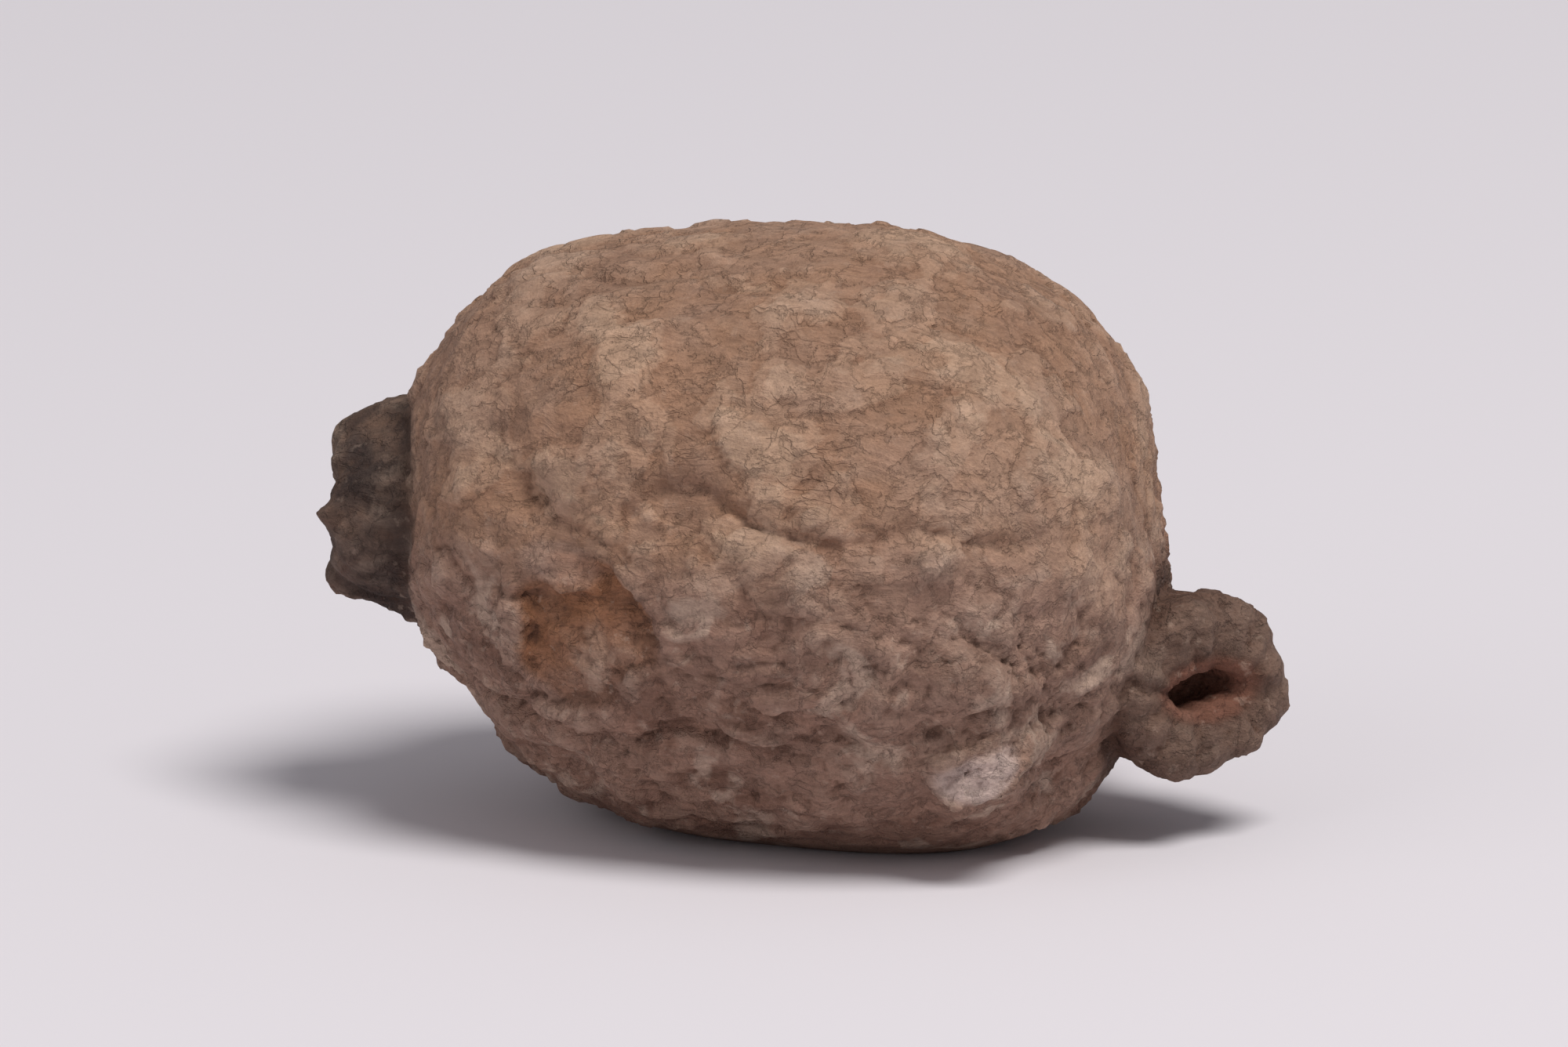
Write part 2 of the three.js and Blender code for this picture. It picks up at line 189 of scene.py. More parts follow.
# Where the coat's colours change, and how widely its hollows are judged. Lengths are in millimetres, but a
# chip's reach is in shares of its own length and width.
# The lower side is darker: partly its own darker skin, partly painted shade.
LOW_SIDE_AND_SHADE = {"height": 0.6, "spacing": 3.1, "top": 0.5, "fall": 2.0, "levels": (-0.5, 0.6), "salt": 97}
CUP_REACH = (1.9, 2.9)
MOUTH_REACH = {"radii": (0.9, 1.25), "heights": (-0.3, 0.1)}
LIP_REACH = {"radii": (1.0, 1.5), "heights": (0.75, 1.15)}
CHIP_REACH = (0.34, 0.52)
HOLLOW_ROUNDS = {"groove": 8, "valley": 63}


def smooth(value, low, high):
    """From 0 at the low value to 1 at the high one, eased at both ends."""
    t = np.clip((value - low) / (high - low), 0, 1)
    return t * t * (3 - 2 * t)


def lengths(vectors):
    return np.linalg.norm(vectors, axis=1)


def lattice_number(x, y, z, salt):
    """A whole number that depends only on the lattice point and the salt."""
    n = np.uint32((salt * SALT_KEY) & WORD)
    for place, key in zip((x, y, z), POINT_KEYS):
        n = n ^ (place.astype(np.uint32) * np.uint32(key))
    for shift, key in MIXING_STEPS:
        n = (n ^ (n >> np.uint32(shift))) * np.uint32(key)
    return n ^ (n >> np.uint32(LAST_SHIFT))


def lattice_triple(x, y, z, salt):
    """Three numbers from 0 to 1 that depend only on the lattice point and the salt."""
    n = lattice_number(x, y, z, salt)
    highest = (1 << SLOPE_BITS) - 1
    return [((n >> np.uint32(SLOPE_BITS * k)) & np.uint32(highest)) / highest for k in range(3)]


def noise(x, y, z, salt):
    """Smooth gradient noise, about -1 to 1."""
    x, y, z = np.broadcast_arrays(x, y, z)
    cell = [np.floor(v).astype(np.int64) for v in (x, y, z)]
    part = [v - c for v, c in zip((x, y, z), cell)]
    eased = [t * t * t * (t * (6 * t - 15) + 10) for t in part]
    total = np.zeros(x.shape)
    for corner in range(8):
        step = (corner & 1, (corner >> 1) & 1, corner >> 2)
        slopes = lattice_triple(*[c + s for c, s in zip(cell, step)], salt)
        slope = sum((2 * g - 1) * (f - s) for g, f, s in zip(slopes, part, step))
        for e, s in zip(eased, step):
            slope = slope * (e if s else 1 - e)
        total += slope
    return NOISE_GAIN * total


def grain_distance(x, y, z, salt):
    """Distance to the nearest grain's centre, one grain to each lattice cell."""
    cell = [np.floor(v).astype(np.int64) for v in (x, y, z)]
    nearest = np.full(x.shape, np.inf)
    for step in itertools.product((-1, 0, 1), repeat=3):
        near = [c + s for c, s in zip(cell, step)]
        jitter = lattice_triple(*near, salt)
        away = [n + j - v for n, j, v in zip(near, jitter, (x, y, z))]
        nearest = np.minimum(nearest, np.sqrt(sum(a * a for a in away)))
    return nearest


def noise_at(points, wave):
    """A wave's noise at each point."""
    return noise(*(points / wave["spacing"]).T, wave["salt"])


def tearing(around, quickness, level, salt):
    """Noise round a closed outline, for the angles round its middle."""
    return noise(quickness * np.cos(around), quickness * np.sin(around), level, salt)


def warped(points, wave):
    """The points moved about, so that what is made from them wanders."""
    moved = [noise_at(points, {"spacing": wave["spacing"], "salt": wave["salt"] + k}) for k in range(3)]
    return points + wave["height"] * np.stack(moved, 1)


def body_form(directions):
    """The smooth body in some directions: its points, and the way its surface faces there."""
    points = directions * HALF
    points /= lengths(points)[:, None]
    share = points / HALF
    ring = (np.abs(share[:, 1:]) ** GIRTH_POWER).sum(1)
    whole = np.abs(share[:, 0]) ** LENGTH_POWER + ring ** (LENGTH_POWER / GIRTH_POWER)
    points *= (whole ** (-1 / LENGTH_POWER))[:, None]
    powers = np.array([LENGTH_POWER, GIRTH_POWER, GIRTH_POWER])
    normals = np.sign(share) * np.abs(share) ** (powers - 1) / HALF
    normals[:, 1:] *= (ring ** (LENGTH_POWER / GIRTH_POWER - 1))[:, None]
    normals /= lengths(normals)[:, None]
    along = points[:, 0] / HALF[0]
    girth = 1 + TAPER * along
    points[:, 1] *= girth
    points[:, 2] = points[:, 2] * girth - TILT * along * np.abs(along)
    return points, normals


def place_on_body(at):
    """The point of the smooth body in one direction from its centre, and its normal there."""
    direction = np.array(at) / HALF
    points, normals = body_form((direction / np.linalg.norm(direction))[None, :])
    return points[0], normals[0]


def furrow_depth(points):
    """The long wrinkles that run lengthwise, each wandering round the body between its two ends."""
    x, y, z = points.T
    angle, radius = np.arctan2(z, y), np.hypot(y, z)
    depth = np.zeros(len(points))
    for number, furrow in enumerate(FURROWS):
        row = FURROW["apart"] * number + MID_CELL
        shift = FURROW["wander"] * noise(x / FURROW["spacing"], row, MID_CELL, FURROW["salt"])
        turn = angle - furrow["angle"] - shift
        away = radius * np.arctan2(np.sin(turn), np.cos(turn))
        begun = smooth(x, furrow["start"] - FURROW["fade"], furrow["start"])
        ended = smooth(x, furrow["end"], furrow["end"] + FURROW["fade"])
        depth += furrow["depth"] * begun * (1 - ended) * np.exp(-((away / FURROW["width"]) ** 2))
    return depth


def folded(points, wave):
    """Rounded folds with sharp creases between them, each octave half as wide as the one before."""
    total = np.zeros(len(points))
    for octave in range(wave["octaves"]):
        x, y, z = (points * 2**octave / wave["spacing"]).T
        level = np.abs(noise(x / wave["stretch"], y, z, wave["salt"] + octave))
        total += wave["fading"] ** octave * (np.sqrt(level + CREASE["bluntness"]) - CREASE["depth"])
    return wave["height"] * total


def folded_share(points):
    """How strongly the coat is folded: less on the calm upper side, more below."""
    level = CALM["height"] * noise_at(points, CALM) - CALM["rise"] * points[:, 2]
    return CALM["least"] + (1 - CALM["least"]) * smooth(level, *CALM["levels"])


def roughened_share(points):
    """The same from 0 on the calmest coat to 1 on the most folded."""
    return (folded_share(points) - CALM["least"]) / (1 - CALM["least"])


def flaked_share(points, patch):
    """How bare of its skin each point is, from 0 to 1: most under the patch's ledge."""
    centre, _ = place_on_body(patch["at"])
    away = (points - centre) / patch["size"]
    edge = 1 + FLAKE_EDGE["ragged"] * noise_at(points, FLAKE_EDGE)
    inside = smooth(edge - lengths(away), 0, FLAKE_EDGE["step"])
    under = smooth(away @ patch["ledge"], *FLAKE_EDGE["under"])
    return inside * (FLAKE_EDGE["shallow"] + (1 - FLAKE_EDGE["shallow"]) * under)


def coat_relief(points):
    """Height of the coat over the smooth body."""
    moved = warped(points, WARP)
    flaked = [flaked_share(points, patch) for patch in FLAKED]
    folds = folded(moved, FOLDS) * folded_share(points)
    height = folds * (1 - FLAKE_SMOOTHING * np.max(flaked, axis=0)) - furrow_depth(points)
    height += LUMP["height"] * noise_at(points, LUMP) + DENT["height"] * noise_at(points, DENT)
    for patch, share in zip(FLAKED, flaked):
        height -= patch["depth"] * share
    for spot in SPOTS:
        centre, _ = place_on_body(spot["at"])
        away = lengths(points - centre)
        height += spot["height"] * np.exp(-((away / spot["radius"]) ** 2))
    return height * smooth(points[:, 2] - REST_LEVEL, *REST_FADE)


def corners_of(shape):
    return np.array([v.co for v in shape.verts], float)


def move_corners(shape, places):
    """The same shape with its corners at new places."""
    for vertex, place in zip(shape.verts, places):
        vertex.co = place
    return shape


def wrinkled_body():
    """The oval body with its lumps, folds, furrows and flaked patches."""
    ball = bmesh.new()
    bmesh.ops.create_icosphere(ball, subdivisions=BALL_SPLITS, radius=1)
    directions = corners_of(ball)
    directions /= lengths(directions)[:, None]
    points, normals = body_form(directions)
    return move_corners(ball, points + normals * coat_relief(points)[:, None])


def rounded(profile):
    """A smooth curve through the profile's points."""
    ends = [profile[0], *profile, profile[-1]]
    curve = []
    for a, b, c, d in zip(ends, ends[1:], ends[2:], ends[3:]):
        a, b, c, d = (np.array(p, float) for p in (a, b, c, d))
        for k in range(CUP_ROUNDING):
            t = k / CUP_ROUNDING
            curve.append(0.5 * (2 * b + (c - a) * t + (2 * a - 5 * b + 4 * c - d) * t**2
                                + (3 * b - a - 3 * c + d) * t**3))
    curve.append(np.array(profile[-1], float))
    return curve


def turned(profile):
    """A closed solid of revolution about Y. The profile starts and ends on the axis."""
    shape = bmesh.new()
    angles = [2 * math.pi * k / CUP_SIDES for k in range(CUP_SIDES)]
    rings = []
    for radius, height in profile[1:-1]:
        corners = [(radius * math.sin(a), height, radius * math.cos(a)) for a in angles]
        rings.append([shape.verts.new(corner) for corner in corners])
    first, last = (shape.verts.new((0, height, 0)) for _, height in (profile[0], profile[-1]))
    for k in range(CUP_SIDES):
        after = (k + 1) % CUP_SIDES
        shape.faces.new((first, rings[0][after], rings[0][k]))
        shape.faces.new((last, rings[-1][k], rings[-1][after]))
        for low, high in zip(rings, rings[1:]):
            shape.faces.new((low[k], low[after], high[after], high[k]))
    bmesh.ops.recalc_face_normals(shape, faces=shape.faces)
    return shape


def end_cup(cup):
    """A turned cup with a lobed, ragged rim and a mouth that has shrunk to a slit."""
    shape = turned(rounded(cup["profile"]))
    corners = corners_of(shape)
    x, y, z = corners.T
    around = np.arctan2(z, x)
    risen = smooth(y, *CUP_RISE)
    lobe = 1 + cup["lobe_height"] * risen * np.cos(cup["lobes"] * around + cup["salt"])
    torn = cup["ragged"] * risen * tearing(around, TEAR["cup"], MID_CELL, cup["salt"])
    uneven = CUP_UNEVEN["height"] * noise(*(corners / CUP_UNEVEN["spacing"]).T, cup["salt"] + 1)
    inside = smooth(CUP_MOUTH["radius"] - np.hypot(x, z), 0, CUP_MOUTH["fade"])
    mouth = inside * smooth(y, *CUP_MOUTH["heights"])
    squash = cup["squash"] * (1 - (1 - cup["slit"]) * mouth)
    pleats = np.cos(CUP_PLEATS["count"] * around + CUP_PLEATS["wander"] * torn / cup["ragged"])
    lift = uneven + CUP_PLEATS["height"] * pleats * risen * smooth(np.hypot(x, z), *CUP_PLEATS["radii"])
    places = np.stack([x * lobe, y * (1 + torn) + lift, z * lobe * squash], 1)
    turn = Vector((0, 1, 0)).rotation_difference(Vector(cup["towards"]).normalized())
    place = Matrix.Translation(cup["at"]) @ turn.to_matrix().to_4x4()
    return move_corners(shape, [place @ Vector(p) for p in places])


def chip_frame(chip):
    """A chip's centre on the coat, and its directions along, across and away from the body."""
    surface, normal = place_on_body(chip["at"])
    centre = surface + normal * coat_relief(surface[None, :])[0]
    turn = Matrix.Rotation(chip["turn"], 3, Vector(normal))
    across = np.cross(normal, np.array(turn @ Vector((1, 0, 0))))
    across /= np.linalg.norm(across)
    return centre, np.cross(across, normal), across, normal


def skin_chip(chip, number):
    """A chip of dried skin: a thin plate with a ragged outline, curled up along its free edge."""
    centre, lengthwise, across, normal = chip_frame(chip)
    plate = bmesh.new()
    bmesh.ops.create_cube(plate, size=2)
    bmesh.ops.subdivide_edges(plate, edges=plate.edges[:], cuts=CHIP_CUTS, use_grid_fill=True)
    x, y, z = corners_of(plate).T
    around = np.arctan2(y, x)
    torn = 1 + CHIP["ragged"] * tearing(around, TEAR["chip"], number + MID_CELL, CHIP["salt"])
    narrowed = 1 - CHIP["rounding"] * x * x
    shortened = 1 - CHIP["rounding"] * y * y
    free = (y + 1) / 2
    root = np.where(z < 0, CHIP["root"] * (1 - free) * -z, 0)
    height = CHIP["thickness"] * z / 2 - root + chip["lift"] * free * free - CHIP["bend"] * x * x
    places = centre + np.outer(x * shortened * torn * chip["length"] / 2, lengthwise)
    places += np.outer(y * narrowed * torn * chip["width"] / 2, across) + np.outer(height, normal)
    return move_corners(plate, places)


def new_object(name, data):
    """An object in the scene that holds a mesh, a lamp or a camera."""
    holder = bpy.data.objects.new(name, data)
    bpy.context.scene.collection.objects.link(holder)
    return holder


def fused(shapes):
    """One closed skin round all the shapes, of small even faces."""
    together = bpy.data.meshes.new("together")
    whole = bmesh.new()
    for shape in shapes:
        part = bpy.data.meshes.new("part")
        shape.to_mesh(part)
        whole.from_mesh(part)
        shape.free()
        bpy.data.meshes.remove(part)
    whole.to_mesh(together)
    whole.free()
    holder = new_object("together", together)
    remesh = holder.modifiers.new("skin", "REMESH")
    remesh.mode = "VOXEL"
    remesh.voxel_size = SKIN_VOXEL
    depsgraph = bpy.context.evaluated_depsgraph_get()
    skin = bpy.data.meshes.new_from_object(holder.evaluated_get(depsgraph))
    bpy.data.objects.remove(holder)
    bpy.data.meshes.remove(together)
    skin.name = "seed_skin"
    return skin


def read_rows(items, name, width, kind=np.float32):
    """One property of a mesh's corners or edges, with a row for each."""
    flat = np.empty(len(items) * width, kind)
    items.foreach_get(name, flat)
    return flat.reshape(-1, width)


def read_corners(mesh):
    return read_rows(mesh.vertices, "co", 3).astype(float)


def normals_of(mesh):
    return read_rows(mesh.vertices, "normal", 3).astype(float)


def write_corners(mesh, points):
    mesh.vertices.foreach_set("co", points.astype(np.float32).ravel())
    mesh.update()


def eased_corners(points, edges, rounds):
    """The corners after each has been drawn halfway to the mean of its neighbours that many times."""
    count = len(points)
    here, there = np.concatenate([edges, edges[:, ::-1]]).T
    neighbours = np.bincount(here, minlength=count)[:, None]
    for _ in range(rounds):
        sums = [np.bincount(here, weights=points[there, k], minlength=count) for k in range(3)]
        points = (points + np.stack(sums, 1) / neighbours) / 2
    return points


def hollowness(mesh, rounds):
    """How far each corner lies below its eased surroundings, in millimetres: above 0 in a groove."""
    points = read_corners(mesh)
    eased = eased_corners(points, read_rows(mesh.edges, "vertices", 2, np.int32), rounds)
    return ((eased - points) * normals_of(mesh)).sum(1)


def layered(points):
    """How many layers of papery skin lie over each point, from 0 to 2, with torn edges."""
    level = sum(share * noise_at(points * finer, PEEL) for finer, share in PEEL["octaves"])
    return sum(smooth(level, edge, edge + PEEL["step"]) for edge in PEEL["edges"])


def fibrous(points):
    """Fine fibres that run lengthwise in the skin."""
    x, y, z = (points / FIBRES["spacing"]).T
    return noise(x / FIBRES["stretch"], y, z, FIBRES["salt"])


def crusty_share(points):
    """Where grains of dried pulp lie on the skin, from 0 to 1: more on the lower side."""
    return smooth(noise_at(points, CRUSTY) - points[:, 2] / CRUSTY["fall"], *CRUSTY["levels"])


def low_skin_and_shade_share(points):
    """How much of the lower side's darker colour each point has, from 0 to 1: partly its own darker skin,
    partly painted shade.
    """
    wander = LOW_SIDE_AND_SHADE["height"] * noise_at(points, LOW_SIDE_AND_SHADE)
    return smooth(wander + (LOW_SIDE_AND_SHADE["top"] - points[:, 2]) / LOW_SIDE_AND_SHADE["fall"], *LOW_SIDE_AND_SHADE["levels"])


def near_cup(points, cup):
    """How near each point is to a cup, from 0 on the body to 1 on the cup."""
    return 1 - smooth(lengths(points - np.array(cup["at"])), *CUP_REACH)


def cup_mouth(points, cup):
    """How far inside a cup's mouth each point is, from 0 to 1, and how near its lips."""
    axis = np.array(cup["towards"]) / np.linalg.norm(cup["towards"])
    away = points - np.array(cup["at"])
    height = away @ axis
    aside = away - np.outer(height, axis)
    radius = np.hypot(np.hypot(aside[:, 0], aside[:, 1]), aside[:, 2] / cup["slit"])
    inside = (1 - smooth(radius, *MOUTH_REACH["radii"])) * smooth(height, *MOUTH_REACH["heights"])
    lips = smooth(radius, *LIP_REACH["radii"]) * smooth(height, *LIP_REACH["heights"])
    return inside, lips


def fine_relief(points):
    """Height of what is too fine for the frame's solid."""
    moved = warped(points, WRINKLE_WARP)
    crusty = crusty_share(points)
    nearest = grain_distance(*(moved / CRUST["spacing"]).T, CRUST["salt"])
    wrinkled = WRINKLES["least"] + (1 - WRINKLES["least"]) * roughened_share(points)
    height = CRUST["height"] * crusty * (CRUST["level"] - nearest)
    height += folded(moved, WRINKLES) * (1 - CRUST["smoothing"] * crusty) * wrinkled
    height += FIBRES["height"] * fibrous(moved)
    height += PEEL["height"] * layered(points)
    on_cup = np.maximum(near_cup(points, CALYX), near_cup(points, COLLAR))
    return height * (1 - (1 - CUP_FINENESS) * on_cup)


def chipped_share(points):
    """How much of a chip's pale skin each point has, from 0 to 1."""
    shares = []
    for chip in CHIPS:
        centre, lengthwise, across, _ = chip_frame(chip)
        away = points - centre
        along, aside = away @ lengthwise / chip["length"], away @ across / chip["width"]
        near = lengths(away) < chip["length"]
        shares.append(chip["pale"] * near * (1 - smooth(np.hypot(along, aside), *CHIP_REACH)))
    return np.max(shares, axis=0)


def store(mesh, name, values):
    """Keeps a value for each corner, for the material to read."""
    layer = mesh.attributes.new(name, "FLOAT", "POINT")
    layer.data.foreach_set("value", values.astype(np.float32))


def seed_skin():
    """The seed's fine skin, and the body's centre in the frame, in metres."""
    chips = [skin_chip(chip, number) for number, chip in enumerate(CHIPS)]
    mesh = fused([wrinkled_body(), end_cup(CALYX), end_cup(COLLAR), *chips])
    points = read_corners(mesh)
    lifted = smooth(points[:, 2] - REST_LEVEL, *FINE_REST_FADE)
    points = points + normals_of(mesh) * (fine_relief(points) * lifted)[:, None]
    points[:, 2] = np.maximum(points[:, 2], REST_LEVEL)
    write_corners(mesh, points)
    # How deep each corner lies below the coat round about, for the painted shade in hollows and the pale
    # ridges.
    for name, rounds in HOLLOW_ROUNDS.items():
        store(mesh, name, hollowness(mesh, rounds))
    store(mesh, "layers", layered(points) * ONE_LAYER)
    store(mesh, "fibre", fibrous(warped(points, WRINKLE_WARP)))
    store(mesh, "roughened", roughened_share(points))
    store(mesh, "low", low_skin_and_shade_share(points))
    store(mesh, "chip", chipped_share(points))
    store(mesh, "flaked", np.max([flaked_share(points, patch) for patch in FLAKED], axis=0))
    store(mesh, "calyx", near_cup(points, CALYX))
    store(mesh, "collar", near_cup(points, COLLAR))
    inside, lips = cup_mouth(points, CALYX)
    store(mesh, "mouth", inside)
    store(mesh, "lips", lips)
    low, high = (np.array(corner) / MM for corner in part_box("seed"))
    shift = (low + high - points.min(0) - points.max(0)) / 2
    shift[2] = low[2] - REST_LEVEL
    write_corners(mesh, (points + shift) * MM)
    mesh.shade_smooth()
    return new_object("seed_skin", mesh), Vector(shift * MM)


# Materials are worked in object coordinates. PER_MM turns waves to the millimetre into a noise scale.
PER_MM = 1 / MM
NOISE_MIDDLE = 0.5
DRIFT_WAVES = 0.9
DRIFT_DETAIL = 2.0

# The inputs and the output of a mix node that are for colours.
MIX_SHARE, MIX_UNDER, MIX_OVER, MIX_RESULT = 0, 6, 7, 2


class Nodes:
    """Short ways to add shader nodes to one material."""

    def __init__(self, name):
        self.material = bpy.data.materials.new(name)
        self.material.use_nodes = True
        self.tree = self.material.node_tree
        self.tree.nodes.clear()

    def add(self, kind, inputs=None, **settings):
        """A node with its settings, and with its inputs joined to sockets or set to values."""
        node = self.tree.nodes.new(kind)
        for name, value in settings.items():
            setattr(node, name, value)
        for name, value in (inputs or {}).items():
            if isinstance(value, bpy.types.NodeSocket):
                self.tree.links.new(value, node.inputs[name])
            else:
                node.inputs[name].default_value = value
        return node

    def dull_surface(self, inputs):
        """The material, with its surface made from the inputs."""
        shader = self.add("ShaderNodeBsdfPrincipled", inputs)
        self.add("ShaderNodeOutputMaterial", {"Surface": shader.outputs["BSDF"]})
        return self.material

    def attribute(self, name):
        """A value that is stored at the skin's corners."""
        return self.add("ShaderNodeAttribute", attribute_name=name).outputs["Fac"]

    def ranged(self, value, low, high, out_low=0.0, out_high=1.0):
        """The value moved smoothly from one range to another, and held at its ends."""
        ends = {"Value": value, "From Min": low, "From Max": high, "To Min": out_low, "To Max": out_high}
        return self.add("ShaderNodeMapRange", ends, interpolation_type="SMOOTHSTEP").outputs["Result"]

    def between(self, share, strengths):
        """The first strength where the share is 0, the second where it is 1."""
        return self.ranged(share, 0.0, 1.0, *strengths)

    def vectors(self, operation, *inputs):
        node = self.add("ShaderNodeVectorMath", dict(enumerate(inputs)), operation=operation)
        return node.outputs[0]

    def noise(self, waves, detail=3.0, roughness=0.55, distortion=0.0, offset=0.0):
        """Noise with so many waves to the millimetre. Its offset, in millimetres, sets it apart."""
        place = self.add("ShaderNodeTexCoord").outputs["Object"]
        node = self.add("ShaderNodeTexNoise", {
            "Vector": self.vectors("ADD", place, (offset * MM,) * 3), "Scale": waves * PER_MM,
            "Detail": detail, "Roughness": roughness, "Distortion": distortion})
        return node.outputs["Fac"]

    def marks(self, name):
        """The marks of one name, at their strengths off them and on them."""
        mark = MARKS[name]
        strengths = mark.get("strengths", (0.0, 1.0))
        return self.ranged(self.noise(**mark["noise"]), *mark["levels"], *strengths)

    def placed(self, waves, wander):
        """The place in waves along each axis, moved about by up to so many millimetres."""
        place = self.add("ShaderNodeTexCoord").outputs["Object"]
        in_mm = self.vectors("MULTIPLY", place, (PER_MM,) * 3)
        drift = self.add("ShaderNodeTexNoise", {
            "Vector": in_mm, "Scale": DRIFT_WAVES, "Detail": DRIFT_DETAIL})
        centred = self.vectors("SUBTRACT", drift.outputs["Color"], (NOISE_MIDDLE,) * 3)
        moved = self.vectors("MULTIPLY_ADD", centred, (2 * wander,) * 3, in_mm)
        return self.vectors("MULTIPLY", moved, waves)

    def stretched(self, waves, wander, detail, roughness):
        """Noise with its own number of waves along each axis."""
        node = self.add("ShaderNodeTexNoise", {
            "Vector": self.placed(waves, wander), "Scale": 1.0, "Detail": detail, "Roughness": roughness})
        return node.outputs["Fac"]

    def cracks(self, cells, width, wander):
        """Thin lines between cells, from 0 off a line to 1 on it."""
        inputs = {"Vector": self.placed(cells, wander), "Scale": 1.0}
        node = self.add("ShaderNodeTexVoronoi", inputs, feature="DISTANCE_TO_EDGE")
        return self.ranged(node.outputs["Distance"], 0.0, width, 1.0, 0.0)

    def maths(self, operation, a, b):
        return self.add("ShaderNodeMath", {0: a, 1: b}, operation=operation).outputs[0]

    def product(self, *values):
        return functools.reduce(lambda a, b: self.maths("MULTIPLY", a, b), values)

    def total(self, *values):
        return functools.reduce(lambda a, b: self.maths("ADD", a, b), values)

    def mixed(self, share, under, over, blend="MIX"):
        inputs = {MIX_SHARE: share, MIX_UNDER: under, MIX_OVER: over}
        return self.add("ShaderNodeMix", inputs, data_type="RGBA", blend_type=blend).outputs[MIX_RESULT]

    def painted(self, base, paint, *shares):
        """The base with a colour over it, as strong as the product of the shares."""
        return self.mixed(self.product(*shares), base, paint)


def colour(red, green, blue):
    return (red, green, blue, 1.0)


UNDER_SKIN = colour(0.325, 0.182, 0.114)
SKIN = colour(0.39, 0.234, 0.154)
PALE_SKIN = colour(0.43, 0.274, 0.186)
GREY_SKIN = colour(0.33, 0.206, 0.15)
# The lower side's darker colour: partly its own skin, partly painted shade.
LOW_SKIN_AND_SHADE = colour(0.25, 0.142, 0.108)
BARE = colour(0.29, 0.128, 0.063)
STAIN = colour(0.165, 0.082, 0.056)
# Dark specks and cracks, and the painted shade in hollows.
DARK_MARK_AND_HOLLOW_SHADE = colour(0.1, 0.048, 0.031)
# Pale dust, also used as a painted highlight on ridges and on the calyx lips.
PALE_DUST_AND_HIGHLIGHT = colour(0.53, 0.39, 0.305)
SCORCHED = colour(0.045, 0.028, 0.023)
CALYX_SKIN = colour(0.088, 0.044, 0.03)
MOUTH = colour(0.2, 0.084, 0.054)
CHIP_SKIN = colour(0.56, 0.43, 0.385)

# Marks on the coat. Each follows a noise of its own, sets in between two levels of it, and has a strength
# below those levels and one above them, which are 0 and 1 where nothing else is said.
MARKS = {
    "grey": {
        "noise": {"waves": 0.3, "detail": 4, "roughness": 0.6, "distortion": 0.3},
        "levels": (0.42, 0.62), "strengths": (0.0, 0.45),
    },
    "stained": {
        "noise": {"waves": 0.55, "detail": 4, "roughness": 0.62, "distortion": 0.5, "offset": 31},
        "levels": (0.5, 0.62),
    },
    "pale": {
        "noise": {"waves": 0.8, "roughness": 0.6, "distortion": 0.5, "offset": 43},
        "levels": (0.52, 0.64),
    },
    "bare": {"noise": {"waves": 0.9, "offset": 9}, "levels": (0.3, 0.6), "strengths": (0.55, 1.0)},
    "charred": {"noise": {"waves": 1.2, "offset": 2}, "levels": (0.3, 0.6), "strengths": (0.7, 1.0)},
    "dusty": {
        "noise": {"waves": 0.8, "detail": 5, "roughness": 0.65, "offset": 4},
        "levels": (0.42, 0.66),
    },
    "pale specks": {
        "noise": {"waves": 3.6, "roughness": 0.6, "offset": 7},
        "levels": (0.6, 0.7), "strengths": (0.0, 0.25),
    },
    "dark specks": {
        "noise": {"waves": 3.0, "roughness": 0.6, "offset": 12},
        "levels": (0.6, 0.7), "strengths": (0.0, 0.3),
    },
    "scales": {
        "noise": {"waves": 1.5, "detail": 6, "roughness": 0.66, "distortion": 0.3, "offset": 17},
        "levels": (0.47, 0.53),
    },
    "cracked": {"noise": {"waves": 0.9, "offset": 27}, "levels": (0.52, 0.68)},
    "dull": {"noise": {"waves": 2.5}, "levels": (0.3, 0.7), "strengths": (0.72, 0.95)},
}

# How much of its own colour each part of the coat takes. The hollows' dark colour is painted shade, the
# lower side's is partly painted shade, and the lips' pale colour is partly a painted highlight.
COVER = {
    "low": 0.72, "calyx": 0.86, "lips": 0.12, "mouth": 0.85, "chip": 0.8, "shaded_hollows": 0.66, "cracks": 0.18,
}

# Strengths at the two ends of a share: upper and lower side, body and calyx, calm and rough coat.
STAINED_STRENGTHS = (0.2, 0.7)
PALE_STRENGTHS = (0.1, 0.55)
RIDGE_DUST_AND_HIGHLIGHT_STRENGTHS = (0.35, 0.08)
COARSE_STRENGTHS = (0.5, 1.0)

# Depths below the coat round about, in millimetres, at which the painted shade in a hollow sets in and is
# full.
# The same for the pale ridges, partly dust and partly a painted highlight, whose depths are below 0.
GROOVE_SHADE_LEVELS = (0.0, 0.06)
VALLEY_SHADE_LEVELS = (0.03, 0.26)
RIDGE_DUST_AND_HIGHLIGHT_LEVELS = (0.05, -0.2)

# The coat's finest detail. Waves and cells are to the millimetre along each axis.
BUMPS = {"waves": 4.5, "detail": 4, "roughness": 0.65, "distortion": 0.4}
GRAIN = {"waves": 17.0, "roughness": 0.7, "offset": 21}
FIBROUS = {"waves": (1.1, 10.0, 10.0), "wander": 0.4, "detail": 3.0, "roughness": 0.6}
CRACKS = {"cells": (0.9, 3.0, 3.0), "width": 0.04, "wander": 0.3}

# What each detail does to the coat's tone: two levels of it, and the tones at them.
TONES = {
    "grain": (0.25, 0.75, 0.87, 1.13),
    "fibres": (0.3, 0.7, 0.88, 1.11),
    "scales": (0.0, 1.0, 0.96, 1.04),
    "skin fibres": (-0.7, 0.7, 0.94, 1.06),
}

# How high each detail stands, in millimetres.
HEIGHTS = {"bumps": 0.07, "fibres": 0.05, "scales": 0.03, "cracks": -0.02, "grain": 0.03}


